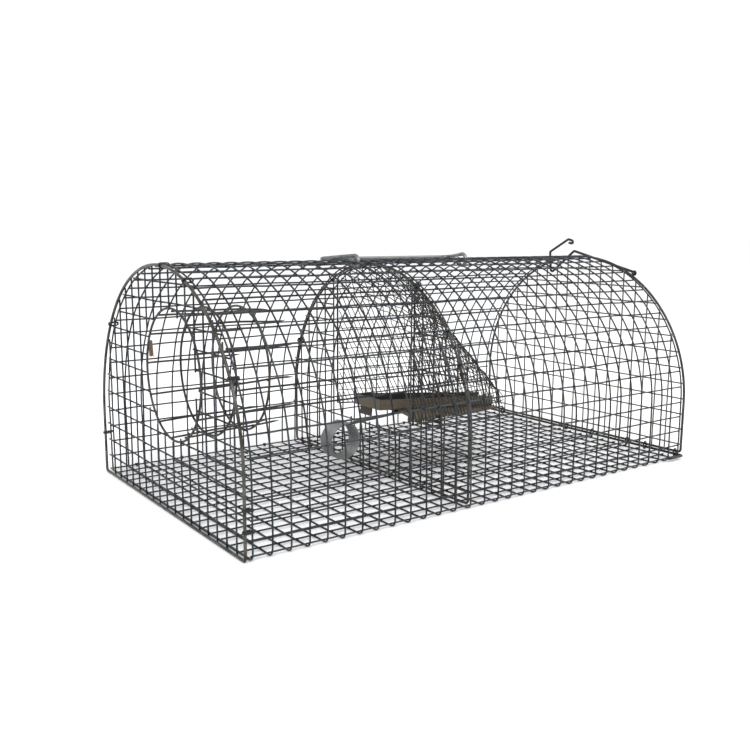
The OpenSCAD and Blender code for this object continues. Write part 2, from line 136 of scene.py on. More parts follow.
# Platform, in its own frame with the pivot rod at the origin
pivot = Vector(JOINTS["platform_pivot"]["pos_m"]) / MM
TILT = 5.0               # degrees that the rear end hangs down at rest
PIVOT_D = 2.4
DECK_Z = 5.4
SHEET = 0.3
CHANNEL_W = 34.0
CHANNEL_REAR_W = 18.0
CHANNEL_H = 8.2
CHANNEL_FRONT = -38.0
PLATE_FRONT = -20.0
PLATE_REAR = 86.0
DROOP = 8.0              # degrees that the plate slopes down beside the tray
EDGE_GAP = 3.5
ROLL_D = 2.0
COIL_D = 2.3
COIL_R = 14.3
COIL_TURNS = 6
COIL_X = -61.2
COIL_Z = -18.3
ARM_Y = -8.5
ARM_Z = DECK_Z - COIL_D / 2 - GAP
ARM_END = -1.0

# Rear end
hinge = Vector(JOINTS["door_hinge"]["pos_m"]) / MM
DOOR_X = hinge.x
HINGE_Z = hinge.z
DOOR_D = 2.0
DOOR_R = HOOP_R + MESH_D / 2 - DOOR_D / 2
HINGE_D = 2.2
HINGE_Y = HOOP_R + MESH_D / 2 + HINGE_D / 2 + GAP
LOOP_D = 1.2
LOOP_GAP = 0.08
DOOR_FOOT = HINGE_Z + HINGE_D + 0.3
DOOR_CROSS_X = DOOR_X - DOOR_D / 2 - MESH_D / 2 - GAP
DOOR_UP_X = DOOR_CROSS_X - MESH_D - GAP
LATCH_D = 2.2
latch_pivot = Vector(JOINTS["latch_pivot"]["pos_m"]) / MM
LATCH_X = box_mm("latch_wire")[1].x - LATCH_D / 2
# Bends of the latch above its eye, as y and height, and the links' places along the hinge rod
LATCH_BENDS = ((11, 168), (38.5, 146.6), (40.5, 166.5), (18.5, 178.5), (13.0, 177.2),
               (13.2, 174.6), (17.5, 175.2))
LINK_PLACES = (-110, -80, -61, -22, 9, 95)

# Handle. The flares are how far its arms lean out beyond the eyes
HANDLE_D = 3.0
HANDLE_REACH = 29.0
HANDLE_EYE = 4.6
FLARE_FRONT = 17.8
FLARE_REAR = 10.4
handle_pivot = Vector(JOINTS["handle_swing"]["pos_m"]) / MM

# Camera
CAMERA_PLACE = ((X0 - 218.3) * MM, -0.5365, 0.1872)
CAMERA_TURN = (54.22, -9.56, 0.36)   # yaw, pitch and roll in degrees
CAMERA_LENS = 41.77


# ---- Small geometry helpers ----

def mix(a, b, t):
    return a + (b - a) * t


def ragged(i, amount):
    """How much the end of wire i falls short, up to amount, without a pattern."""
    return amount * (0.5 + 0.5 * math.sin(math.radians(i * 137)))


def arch_z(r, y):
    """Height of an arch of radius r at y."""
    return SPRING + math.sqrt(max(0.0, r * r - y * y))


def arch_y(r, z):
    """Half width of an arch of radius r at height z."""
    return r if z < SPRING else math.sqrt(max(0.0, r * r - (z - SPRING) ** 2))


def smooth_step(low, high, v):
    t = min(1.0, max(0.0, (v - low) / (high - low)))
    return t * t * (3 - 2 * t)


def straight(a, b, step=6.0):
    """Points from a to b, about step apart."""
    a, b = Vector(a), Vector(b)
    n = max(1, round((b - a).length / step))
    return [a.lerp(b, i / n) for i in range(n + 1)]


def arc_yz(x, y, z, r, start, sweep, step=5.0):
    """Points along an arc in a plane across X, from +Y towards +Z, in degrees."""
    n = max(4, round(abs(math.radians(sweep)) * r / step))
    angles = [math.radians(start + sweep * i / n) for i in range(n + 1)]
    return [Vector((x, y + r * math.cos(a), z + r * math.sin(a))) for a in angles]


def join_paths(*paths):
    """One path through several, dropping doubled points."""
    out = []
    for path in paths:
        for p in path:
            if not out or (p - out[-1]).length > 0.02:
                out.append(p.copy())
    return out


def rounded(points, radius, step=1.2):
    """A path through points with round bends of that radius."""
    points = [Vector(p) for p in points]
    path = [points[0]]
    for before, corner, after in zip(points, points[1:], points[2:]):
        a = (corner - before).normalized()
        b = (after - corner).normalized()
        turn = a.angle(b)
        r = min(radius, 0.48 * min((corner - before).length, (after - corner).length)
                / max(0.01, math.tan(turn / 2)))
        cut = r * math.tan(turn / 2)
        inward = (b - a).normalized()
        centre = corner + inward * (r / math.cos(turn / 2))
        axis = a.cross(b).normalized()
        first = corner - a * cut
        n = max(3, round(turn * r / step))
        path += straight(path[-1], first)[1:]
        for i in range(1, n + 1):
            path.append(centre + Matrix.Rotation(turn * i / n, 3, axis) @ (first - centre))
    return path + straight(path[-1], points[-1])[1:]


# ---- Mesh building ----

def add_piece(name, mesh, body, nodes=()):
    """One piece on a body, which stands in for the CAD nodes named."""
    obj = bpy.data.objects.new(name, mesh)
    bpy.context.scene.collection.objects.link(obj)
    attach(obj, body)
    if nodes:
        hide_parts(*nodes)
    return obj


def set_tones(mesh, tones):
    """Each point's tone, which the material turns into lighter or darker metal."""
    mesh.attributes.new("tone", "FLOAT", "POINT").data.foreach_set("value", tones)


class Wires:
    """Collects round wires, welds and other small solids into one mesh."""

    def __init__(self):
        self.verts = []
        self.faces = []
        self.tones = []

    def _put(self, ring, tone):
        """Adds points of one tone."""
        self.verts += ring
        self.tones += [tone] * len(ring)

    def wire(self, path, d, sides=8, closed=False, tone=None, tip=None):
        """A round wire along path. tip is the end's diameter where the wire is pointed."""
        tone = rng.random() if tone is None else tone
        n = len(path)
        start = len(self.verts)
        tangents = []
        for i in range(n):
            a = path[(i - 1) % n] if closed else path[max(0, i - 1)]
            b = path[(i + 1) % n] if closed else path[min(n - 1, i + 1)]
            tangents.append((b - a).normalized())
        side = tangents[0].orthogonal().normalized()
        for i, (p, t) in enumerate(zip(path, tangents)):
            side = (side - t * side.dot(t)).normalized()
            up = t.cross(side)
            r = (tip if tip is not None and i == n - 1 else d) / 2
            self._put([p + r * (math.cos(2 * math.pi * k / sides) * side
                                + math.sin(2 * math.pi * k / sides) * up)
                       for k in range(sides)], tone)
        for i in range(n if closed else n - 1):
            a = start + i * sides
            b = start + ((i + 1) % n) * sides
            shift = self._twist(a, b, sides) if closed and i == n - 1 else 0
            for k in range(sides):
                q = (k + 1) % sides
                self.faces.append((a + k, a + q, b + (q + shift) % sides, b + (k + shift) % sides))
        if not closed:
            self._cap(path[0], -tangents[0], start, sides, d, tone, True)
            last = start + (n - 1) * sides
            self._cap(path[-1], tangents[-1], last, sides, tip or d, tone, False)

    def _twist(self, a, b, sides):
        """How far the last ring is turned from the first, in sides."""
        return min(range(sides), key=lambda s: (self.verts[a] - self.verts[b + s]).length)

    def _cap(self, p, out, ring, sides, d, tone, flip):
        """A slightly domed end."""
        tip = len(self.verts)
        self._put([p + out * 0.18 * d], tone)
        for k in range(sides):
            q = (k + 1) % sides
            face = (ring + k, ring + q, tip)
            self.faces.append(face[::-1] if flip else face)

    def blob(self, centre, size, tone=0.5, around=7, rows=3):
        """A small rounded weld nugget."""
        start = len(self.verts)
        self._put([centre + Vector((0, 0, size.z))], tone)
        for r in range(1, rows + 1):
            lat = math.pi * r / (rows + 1)
            ring = []
            for k in range(around):
                a = 2 * math.pi * k / around
                ring.append(centre + Vector((size.x * math.sin(lat) * math.cos(a),
                                             size.y * math.sin(lat) * math.sin(a),
                                             size.z * math.cos(lat))))
            self._put(ring, tone)
        self._put([centre - Vector((0, 0, size.z))], tone)
        for k in range(around):
            q = (k + 1) % around
            self.faces.append((start, start + 1 + k, start + 1 + q))
            for r in range(rows - 1):
                a = start + 1 + r * around
                b = a + around
                self.faces.append((a + k, b + k, b + q, a + q))
            end = start + 1 + (rows - 1) * around
            self.faces.append((end + q, end + k, end + around))

    def bend(self, move):
        """Moves every point by a function."""
        self.verts = [move(v) for v in self.verts]

    def build(self, name, material, body, slot, *nodes):
        """Makes the piece from what was collected."""
        mesh = bpy.data.meshes.new(name)
        mesh.from_pydata([v * MM for v in self.verts], [], self.faces)
        mesh.polygons.foreach_set("use_smooth", [True] * len(mesh.polygons))
        set_tones(mesh, self.tones)
        mesh.materials.append(material)
        return add_piece(name, mesh, body, nodes)


def wavy(p):
    """Uneven shape of hand-formed mesh: a slow drift that dies away at the ground and on the ridge."""
    slow = noise.noise_vector(p / 75.0)
    fast = noise.noise_vector(p / 19.0 + Vector((31, 7, 3)))
    drift = slow * 0.9 + fast * 0.35
    ridge = smooth_step(5, 26, abs(p.y)) if p.z > 140 else 1.0
    rear = 1 - 0.75 * smooth_step(X_END - 25, X_END, p.x)
    drift *= mix(0.15, 1.0, ridge) * rear
    drift.z *= smooth_step(3, 30, p.z)
    drift.y *= smooth_step(0, 12, p.z) * 0.8 + 0.2
    return p + drift


# ---- Materials ----

def link(tree, a, b):
    tree.links.new(a, b)


def wire_material(name, dark, light, stain, rough, metallic, stain_share=0.5, scale=90.0, bump=0.25):
    """Drawn or coated wire: patchy colour, a tone for each wire, stains and fine pitting."""
    mat = bpy.data.materials.new(name)
    mat.use_nodes = True
    tree = mat.node_tree
    tree.nodes.clear()
    new = tree.nodes.new
    out = new("ShaderNodeOutputMaterial")
    shader = new("ShaderNodeBsdfPrincipled")
    shader.inputs["Metallic"].default_value = metallic
    coords = new("ShaderNodeTexCoord")
    patches = new("ShaderNodeTexNoise")
    patches.inputs["Scale"].default_value = scale
    patches.inputs["Detail"].default_value = 5
    patches.inputs["Roughness"].default_value = 0.6
    tone = new("ShaderNodeAttribute")
    tone.attribute_name = "tone"
    blend = new("ShaderNodeMath")
    blend.operation = "MULTIPLY_ADD"
    blend.inputs[1].default_value = 0.45
    share = new("ShaderNodeMath")
    share.operation = "MULTIPLY"
    share.inputs[1].default_value = 0.6
    ramp = new("ShaderNodeValToRGB")
    ramp.color_ramp.elements[0].position = 0.2
    ramp.color_ramp.elements[0].color = (*dark, 1)
    ramp.color_ramp.elements[1].position = 0.8
    ramp.color_ramp.elements[1].color = (*light, 1)
    stains = new("ShaderNodeTexNoise")
    stains.inputs["Scale"].default_value = scale * 0.35
    stains.inputs["Detail"].default_value = 3
    edge = new("ShaderNodeValToRGB")
    edge.color_ramp.elements[0].position = 1 - stain_share
    edge.color_ramp.elements[1].position = min(1.0, 1.25 - stain_share)
    over = new("ShaderNodeMix")
    over.data_type = "RGBA"
    over.inputs[7].default_value = (*stain, 1)
    fine = new("ShaderNodeTexNoise")
    fine.inputs["Scale"].default_value = 1400
    fine.inputs["Detail"].default_value = 3
    gloss = new("ShaderNodeMapRange")
    gloss.inputs["To Min"].default_value = rough - 0.1
    gloss.inputs["To Max"].default_value = rough + 0.14
    relief = new("ShaderNodeBump")
    relief.inputs["Strength"].default_value = bump
    relief.inputs["Distance"].default_value = 0.0001
    for texture in (patches, stains, fine):
        link(tree, coords.outputs["Object"], texture.inputs["Vector"])
    link(tree, patches.outputs["Fac"], share.inputs[0])
    link(tree, tone.outputs["Fac"], blend.inputs[0])
    link(tree, share.outputs[0], blend.inputs[2])
    link(tree, blend.outputs[0], ramp.inputs["Fac"])
    link(tree, ramp.outputs["Color"], over.inputs[6])
    link(tree, stains.outputs["Fac"], edge.inputs["Fac"])
    link(tree, edge.outputs["Color"], over.inputs[0])
    link(tree, over.outputs[2], shader.inputs["Base Color"])
    link(tree, patches.outputs["Fac"], gloss.inputs["Value"])
    link(tree, gloss.outputs["Result"], shader.inputs["Roughness"])
    link(tree, fine.outputs["Fac"], relief.inputs["Height"])
    link(tree, relief.outputs["Normal"], shader.inputs["Normal"])
    link(tree, shader.outputs["BSDF"], out.inputs["Surface"])
    return mat


MESH_WIRE = wire_material("mesh_wire", (0.012, 0.017, 0.021), (0.062, 0.074, 0.084),
                          (0.05, 0.042, 0.03), 0.34, 0.75, 0.36)
INNER_WIRE = wire_material("inner_wire", (0.016, 0.015, 0.013), (0.07, 0.064, 0.055),
                           (0.05, 0.036, 0.026), 0.4, 0.65, 0.5)
HOOD_WIRE = wire_material("hood_wire", (0.014, 0.014, 0.012), (0.06, 0.056, 0.048),
                          (0.045, 0.034, 0.022), 0.46, 0.6, 0.5)
FRAME_WIRE = wire_material("frame_wire", (0.014, 0.015, 0.012), (0.12, 0.122, 0.105),
                           (0.03, 0.027, 0.02), 0.28, 0.75, 0.6, 320.0)
DOOR_WIRE = wire_material("door_wire", (0.05, 0.048, 0.036), (0.17, 0.16, 0.125),
                          (0.08, 0.07, 0.05), 0.36, 0.65, 0.4)
FUNNEL_STEEL = wire_material("funnel_wire", (0.014, 0.014, 0.013), (0.085, 0.082, 0.072),
                             (0.04, 0.032, 0.022), 0.32, 0.75, 0.45)
BLACK_WIRE = wire_material("black_wire", (0.004, 0.004, 0.004), (0.012, 0.012, 0.011),
                           (0.02, 0.017, 0.014), 0.42, 0.0, 0.2)
COIL_WIRE = wire_material("coil_wire", (0.03, 0.032, 0.032), (0.24, 0.25, 0.245),
                          (0.05, 0.045, 0.04), 0.3, 0.7, 0.35)
HANDLE_WIRE = wire_material("handle_wire", (0.07, 0.078, 0.078), (0.30, 0.32, 0.315),
                            (0.12, 0.12, 0.105), 0.24, 0.9, 0.35)
SHEET_STEEL = wire_material("platform_sheet", (0.055, 0.05, 0.036), (0.16, 0.128, 0.09),
                            (0.22, 0.145, 0.105), 0.5, 0.4, 0.42, 34.0, 0.4)
# Painted shade: a near-black material for the tray's inner faces, in place of the shadow that falls
# inside the tray.
TRAY_PAINTED_SHADE = wire_material("tray_painted_shade", (0.016, 0.017, 0.014), (0.05, 0.046, 0.036),
                            (0.07, 0.05, 0.036), 0.5, 0.4, 0.4, 34.0, 0.4)
TAB_STEEL = wire_material("tab_sheet", (0.03, 0.033, 0.028), (0.075, 0.07, 0.055),
                          (0.11, 0.075, 0.05), 0.55, 0.3, 0.35, 45.0, 0.4)
TAG_CARD = wire_material("tag_sheet", (0.09, 0.06, 0.04), (0.22, 0.15, 0.10),
                         (0.16, 0.09, 0.045), 0.8, 0.0, 0.45, 160.0, 0.5)


# ---- Barrel ----

def hoop_path(x):
    """Floor run from the seam, rolled corner, near side, roof, and far side down to the seam."""
    bend_y = -HOOP_R + CORNER_R
    bend_z = FLOOR_Z + CORNER_R
    corner = arc_yz(x, bend_y, bend_z, CORNER_R, 270, -90, 1.2)
    return join_paths(straight((x, LINE_R - GAP, FLOOR_Z), (x, bend_y, FLOOR_Z)), corner,
                      straight((x, -HOOP_R, bend_z), (x, -HOOP_R, SPRING)),
                      arc_yz(x, 0, SPRING, HOOP_R, 180, -180),
                      straight((x, HOOP_R, SPRING), (x, HOOP_R, MESH_D / 2)))


def line_places():
    """Where each lengthwise wire runs, as (y, z), for the roof, sides and floor."""
    roof = [(LINE_R * math.cos(math.pi * i / ROOF_CELLS),
             SPRING + LINE_R * math.sin(math.pi * i / ROOF_CELLS)) for i in range(ROOF_CELLS + 1)]
    sides = [(s * LINE_R, k * SPRING / (LEG_WIRES + 1)) for s in (-1, 1)
             for k in range(1, LEG_WIRES + 1)]
    inset = (CORNER_R - MESH_D - GAP) * math.cos(math.radians(45))
    floor = [(j * PITCH, LINE_Z) for j in COLUMNS]
    floor += [(LINE_R, LINE_Z), (-HOOP_R + CORNER_R - inset, FLOOR_Z + CORNER_R - inset)]
    return roof, sides, floor


def outward(y, z):
    """Direction from a lengthwise wire towards the hoop that crosses it."""
    if z < LINE_Z + 0.1 and abs(y) < LINE_R - 1:
        return Vector((0, 0, -1))
    if z < SPRING:
        return Vector((0, math.copysign(1, y), 0))
    return Vector((0, y, z - SPRING)).normalized()


def build_barrel():
    hoops = Wires()
    for i in range(CELLS + 1):
        hoops.wire(hoop_path(X0 + i * PITCH), MESH_D)
    roof, sides, floor = line_places()
    for y, z in roof + sides + floor:
        out = outward(y, z)
        for i in range(CELLS + 1):
            centre = Vector((X0 + i * PITCH, y, z)) + out * (MESH_D / 2)
            hoops.blob(centre, HOOP_WELD, rng.random())
    hoops.bend(wavy)
    hoops.build("hoop_wires", MESH_WIRE, "cage", "mesh_wire", "body_hoops")
    groups = (("roof_wires", roof, "roof_line_wires"), ("side_wires", sides, "side_line_wires"),
              ("floor_wires", floor, "floor_line_wires"))
    for name, places, node in groups:
        lines = Wires()
        for y, z in places:
            lines.wire(straight((X0 - MESH_D / 2, y, z), (X_END + MESH_D / 2, y, z)), MESH_D)
        lines.bend(wavy)
        lines.build(name, MESH_WIRE, "cage", "mesh_wire", node)


def tie(wires, centre, axis, inner, d=TIE_D, turns=TIE_TURNS):
    """A short tie wire wound that many turns round axis, with inner as its inside radius."""
    axis = Vector(axis).normalized()
    side = axis.orthogonal().normalized()
    up = axis.cross(side)
    r = inner + d / 2
    n = round(14 * turns)
    first = -0.5 * d * turns
    path = [Vector(centre) + axis * (first + d * turns * i / n)
            + r * (math.cos(2 * math.pi * turns * i / n) * side
                   + math.sin(2 * math.pi * turns * i / n) * up) for i in range(n + 1)]
    wires.wire(path, d, 6)


def build_seam_clips():
    clips = Wires()
    for i in range(1, CELLS - 1, 3):
        tie(clips, (X0 + (i + 0.5) * PITCH, LINE_R, LINE_Z), (1, 0, 0), MESH_D / 2 + GAP)
    clips.build("seam_ties", BLACK_WIRE, "cage", "black_wire", "seam_clips")


# ---- Front panel ----

def ring_with_bar(x, r, foot, corner=2.5):
    """Closed arch: two legs, a half round and the bar across the foot with round corners."""
    a = math.radians(90)
    near = [Vector((x, -r + corner - corner * math.sin(a * i / 5),
                    foot + corner - corner * math.cos(a * i / 5))) for i in range(6)]
    far = [Vector((x, -p.y, p.z)) for p in reversed(near)]
    path = join_paths(straight((x, 0, foot), (x, -r + corner, foot)), near,
                      straight((x, -r, foot + corner), (x, -r, SPRING)),
                      arc_yz(x, 0, SPRING, r, 180, -180),
                      straight((x, r, SPRING), (x, r, foot + corner)), far,
                      straight((x, r - corner, foot), (x, 0, foot)))
    return path[:-1]


def weld_row(wires, x, z, places):
    """Weld nuggets along one cross wire, where it meets the uprights at those places."""
    for y in places:
        wires.blob(Vector((x, y, z)), PANEL_WELD, rng.random())


def hole_half(v, i):
    """Half the gap that the entrance hole leaves in wire i, which passes its middle at v."""
    return math.sqrt(max(0.0, (HOLE_R - ragged(i, 1.6)) ** 2 - v * v))


def clear_of_hole(y, z):
    return math.hypot(y - HOLE_Y, z - HOLE_Z) > HOLE_R - 1


def panel_sag(p):
    """Slight dishing of a flat mesh panel."""
    drift = noise.noise_vector(p / 42.0 + Vector((5, 0, 0)))
    return p + Vector((0.35 * drift.x, 0.55 * drift.y, 0.5 * drift.z * smooth_step(2, 20, p.z)))


def build_front():
    ring = Wires()
    ring.wire(ring_with_bar(X0 - RING_OFF, RING_R, RING_D / 2), RING_D, 10, closed=True)
    ring.build("front_ring_wire", FRAME_WIRE, "cage", "frame_wire", "front_ring")
    up_x = X0 - UPRIGHT_OFF
    cross_x = X0 - CROSS_OFF
    uprights = Wires()
    for j in COLUMNS:
        y = j * PITCH
        top = arch_z(RING_R + ragged(j, 1.1), y)
        cut = hole_half(y - HOLE_Y, j)
        if cut > 0:
            uprights.wire(straight((up_x, y, FRONT_FOOT), (up_x, y, HOLE_Z - cut)), MESH_D)
            uprights.wire(straight((up_x, y, HOLE_Z + cut), (up_x, y, top)), MESH_D)
        else:
            uprights.wire(straight((up_x, y, FRONT_FOOT), (up_x, y, top)), MESH_D)
    crosswires = Wires()
    for k in range(ROWS + 1):
        z = FRONT_SILL if k == 0 else k * PITCH
        end = arch_y(RING_R + ragged(k, 1.1), z)
        cut = hole_half(z - HOLE_Z, k + 3)
        if cut > 0:
            crosswires.wire(straight((cross_x, -end, z), (cross_x, HOLE_Y - cut, z)), MESH_D)
            crosswires.wire(straight((cross_x, HOLE_Y + cut, z), (cross_x, end, z)), MESH_D)
        else:
            crosswires.wire(straight((cross_x, -end, z), (cross_x, end, z)), MESH_D)
        meets = [j * PITCH for j in COLUMNS if abs(j * PITCH) < end]
        weld_row(crosswires, up_x + MESH_D / 2, z, [y for y in meets if clear_of_hole(y, z)])
    for wires, name, node in ((uprights, "front_upright_wires", "front_uprights"),
                              (crosswires, "front_cross_wires", "front_crosswires")):
        wires.bend(panel_sag)
        wires.build(name, MESH_WIRE, "cage", "mesh_wire", node)


def long_tie(wires, xa, xb, out, centre, inner, d=TIE_D, turns=2):
    """A tie wire wound round two parallel wires at xa and xb, in a plane along X and out."""
    out = Vector(out).normalized()
    across = out.cross(Vector((1, 0, 0)))
    w = inner + d / 2
    loop = []
    for x, start in ((xb, -90), (xa, 90)):
        for i in range(9):
            a = math.radians(start + 180 * i / 8)
            loop.append(Vector((x + w * math.cos(a), 0, 0)) + out * (w * math.sin(a)))
    n = len(loop)
    path = []
    for i in range(n * turns + 1):
        path.append(Vector(centre) + loop[i % n] + across * (d * (i / n - turns / 2)))
    wires.wire(path, d, 6, tone=0.4)


def build_front_ties():
    ties = Wires()
    r = RING_R + 0.1
    places = []
    for degrees in ROOF_TIES:
        a = math.radians(degrees)
        places.append((Vector((0, math.cos(a), math.sin(a))), SPRING))
    for side, z in LEG_TIES:
        places.append((Vector((0, side, 0)), z))
    for out, z in places:
        long_tie(ties, X0 - RING_OFF, X0, out, out * r + Vector((0, 0, z)), RING_D / 2 + GAP)
    ties.build("front_ties", BLACK_WIRE, "cage", "black_wire", "front_clips")


# ---- Entrance funnel ----

def funnel_centre(s):
    """Middle of the funnel, s behind the front panel."""
    return Vector((FUNNEL_X + s, HOLE_Y + FUNNEL_DRIFT * s, HOLE_Z))


def spike_point(a, s):
    """Point on the spike at angle a round the funnel, s along it."""
    r = HOLE_R + FUNNEL_TAPER * s - FUNNEL_WIRE / 2 - SPIKE_D / 2 - GAP
    return funnel_centre(s) + Vector((0, r * math.cos(a), r * math.sin(a)))


def build_funnel():
    for step, name in enumerate(("outer", "middle", "inner")):
        s = step * FUNNEL_STEP
        c = funnel_centre(s)
        ring = Wires()
        path = arc_yz(c.x, c.y, c.z, HOLE_R + FUNNEL_TAPER * s, 0, 360, 4.0)
        ring.wire(path[:-1], FUNNEL_WIRE, 10, closed=True)
        ring.build(f"entrance_{name}_ring", FUNNEL_STEEL, "cage", "funnel_wire",
                   f"entrance_ring_{name}")
    spikes = Wires()
    for i in range(SPIKES):
        a = math.radians(4 + i * 360 / SPIKES)
        root = spike_point(a, -SPIKE_D / 2)
        tip = spike_point(a, SPIKE_LEN - ragged(i, 6))
        shoulder = tip + (root - tip).normalized() * 5
        path = straight(root, shoulder, 8) + [tip]
        bent = [p + noise.noise_vector(p / 34.0) * 2.6 * (k / len(path)) for k, p in enumerate(path)]
        spikes.wire(bent, SPIKE_D, 8, tip=SPIKE_TIP)
        for s in (0, FUNNEL_STEP, 2 * FUNNEL_STEP):
            spikes.blob(spike_point(a, s), SPIKE_WELD)
    spikes.build("spike_wires", FUNNEL_STEEL, "cage", "funnel_wire", "entrance_spikes")


def sheet_mesh(name, rows, thickness, material, body, slot, *nodes, inner_face_material=None):
    """A thin sheet through a grid of points, thickened both ways.

    A second material, if given, goes on its inner face; on the tray it is painted shade.
    """
    verts = [p * MM for row in rows for p in row]
    wide = len(rows[0])
    faces = [(r * wide + c, r * wide + c + 1, (r + 1) * wide + c + 1, (r + 1) * wide + c)
             for r in range(len(rows) - 1) for c in range(wide - 1)]
    mesh = bpy.data.meshes.new(name)
    mesh.from_pydata(verts, [], faces)
    set_tones(mesh, [0.5] * len(verts))
    mesh.materials.append(material)
    obj = add_piece(name, mesh, body, nodes)
    solid = obj.modifiers.new("thickness", "SOLIDIFY")
    if inner_face_material:
        mesh.materials.append(inner_face_material)
        solid.material_offset = 1
    solid.thickness = thickness * MM
    solid.offset = 0
    return obj


def build_tag():
    """A small curled card that hangs on the outer ring."""
    low, high = box_mm("entrance_tag")
    rows = []
    for r in range(9):
        v = r / 8
        row = []
        for c in range(6):
            u = c / 5
            curl = 1.1 * math.sin(math.pi * u) * (0.4 + v)
            row.append(Vector((mix(low.x, high.x, 0.5) + 0.6 * curl,
                               mix(low.y + 1, high.y - 1, u) - 1.6 * v,
                               mix(high.z - 0.3, low.z + 0.3, v) + 0.5 * math.sin(5 * u))))
        rows.append(row)
    sheet_mesh("entrance_tag_card", rows, 0.35, TAG_CARD, "cage", "tag_sheet", "entrance_tag")


# ---- Partition ----

def build_partition():
    ring = Wires()
    ring.wire(ring_with_bar(X_PART, PART_R, PART_FOOT), PART_D, 10, closed=True)
    ring.build("partition_ring_wire", INNER_WIRE, "cage", "inner_wire", "partition_ring")
    foot = PART_FOOT - PART_D / 2
    uprights = Wires()
    for j in COLUMNS:
        y = j * PITCH
        inside = abs(y) < OPEN_HALF - 1
        top = SILL_Z + 1.4 if inside else arch_z(PART_R + ragged(j, 0.6), y)
        uprights.wire(straight((PART_UP_X, y, foot), (PART_UP_X, y, top)), MESH_D)
    uprights.build("partition_upright_wires", INNER_WIRE, "cage", "inner_wire",
                   "partition_uprights")
    crosswires = Wires()
    inner = OPEN_HALF - 1.2
    for k in range(1, ROWS + 1):
        z = k * PITCH
        end = arch_y(PART_R + ragged(k, 0.6), z)
        below = z < SILL_Z + 1
        if below:
            crosswires.wire(straight((PART_CROSS_X, -end, z), (PART_CROSS_X, end, z)), MESH_D)
        elif end > inner + PITCH / 2:
            for s in (-1, 1):
                crosswires.wire(straight((PART_CROSS_X, s * inner, z), (PART_CROSS_X, s * end, z)),
                                MESH_D)
        meets = [j * PITCH for j in COLUMNS if abs(j * PITCH) < end]
        weld_row(crosswires, PART_UP_X - MESH_D / 2, z,
                 [y for y in meets if below or abs(y) > inner])
    crosswires.build("partition_cross_wires", INNER_WIRE, "cage", "inner_wire",
                     "partition_crosswires")
    ties = Wires()
    low = PART_R - PART_D / 2
    high = HOOP_R + MESH_D / 2
    r = (low + high) / 2
    for i in PART_TIES:
        a = math.pi * i / ROOF_CELLS
        centre = (X_PART, r * math.cos(a), SPRING + r * math.sin(a))
        tie(ties, centre, (0, -math.sin(a), math.cos(a)), (high - low) / 2 + GAP)
    ties.build("partition_ties", BLACK_WIRE, "cage", "black_wire", "partition_clips")


# ---- Hood ----

def hood_size(t):
    """Half width, foot, corner height and crown rise of the hood, t of the way to its tip."""
    return (mix(MOUTH[k], TIP[k], t) for k in ("half", "foot", "corner", "rise"))


def hood_point(t, s):
    """Point on the hood: t runs from mouth to tip, s from the far foot over the crown."""
    half, foot, corner, rise = hood_size(t)
    x = HOOD_X + t * HOOD_LEN
    if s < SIDE_SHARE:
        y, z = half, mix(foot, corner, s / SIDE_SHARE)
    elif s > 1 - SIDE_SHARE:
        y, z = -half, mix(foot, corner, (1 - s) / SIDE_SHARE)
    else:
        u = 1 - 2 * (s - SIDE_SHARE) / (1 - 2 * SIDE_SHARE)
        y, z = half * u, corner + rise * (1 - u * u)
    return Vector((x, y, z))


def net_point(t, v, lift):
    """Point on the hood at true distance v from its ridge, or None beyond the hem."""
    half, foot, corner, rise = hood_size(min(1.0, t))
    crown = half * (1 + 0.67 * (rise / half) ** 2)
    x = HOOD_X + t * HOOD_LEN
    if abs(v) <= crown:
        u = v / crown
        out = Vector((0.6, 2 * rise * u / half, 1)).normalized()
        return Vector((x, half * u, corner + rise * (1 - u * u))) + out * lift
    z = corner - (abs(v) - crown)
    if z < foot:
        return None
    return Vector((x, math.copysign(half + lift, v), z))


def net_run(m, way):
    """Net wire m of one slant, over and under the wires that it crosses, down to the hem."""
    cross = NET_CELL / (2 * NET_SLOPE)
    frayed = 1.0 + 0.015 * rng.random()
    steps = round(3 / cross)
    run = []
    for j in range(steps + 1):
        t = mix(0.01, frayed, j / steps)
        lift = NET_LIFT * way * math.cos(math.pi * (t / cross + m))
        p = net_point(t, m * NET_CELL + way * NET_SLOPE * t, lift)
        if p is not None:
            run.append(p + noise.noise_vector(p / 9.0) * Vector((0.9, 0.5, 0.9)))
        elif run:
            break
    return run


def build_hood():
    mouth = Wires()
    mouth.wire([hood_point(0, i / 60) for i in range(61)], MOUTH_D, 8)
    mouth.build("hood_mouth", HOOD_WIRE, "cage", "hood_wire", "hood_mouth_wire")
    hems = Wires()
    near = (MOUTH_D / 2 + GAP) / HOOD_LEN
    for s in (0, 1):
        hems.wire([hood_point(mix(near, 1, i / 16), s) for i in range(17)], HEM_D, 8)
    hems.build("hood_hems", HOOD_WIRE, "cage", "hood_wire", "hood_hem_wires")
    net = Wires()
    count = round(NET_REACH / NET_CELL)
    for way in (1, -1):
        for m in range(-count, count + 1):
            run = net_run(m, way)
            if len(run) > 1:
                net.wire(run, NET_D, 5)
    net.build("hood_net", HOOD_WIRE, "cage", "hood_wire", "hood_length_wires", "hood_cross_wires")


# ---- Platform ----

TO_ROW = Matrix.Translation(pivot) @ Matrix.Rotation(math.radians(TILT), 4, "Y")


def on_pivot(p):
    """A point of the see-saw at rest, from its place relative to the pivot."""
    return TO_ROW @ Vector(p)


def plate_half(x):
    """Half width of the plate, which keeps clear of the hood's sides."""
    t = (pivot.x + x - HOOD_X) / HOOD_LEN
    return mix(MOUTH["half"], TIP["half"], t) - EDGE_GAP


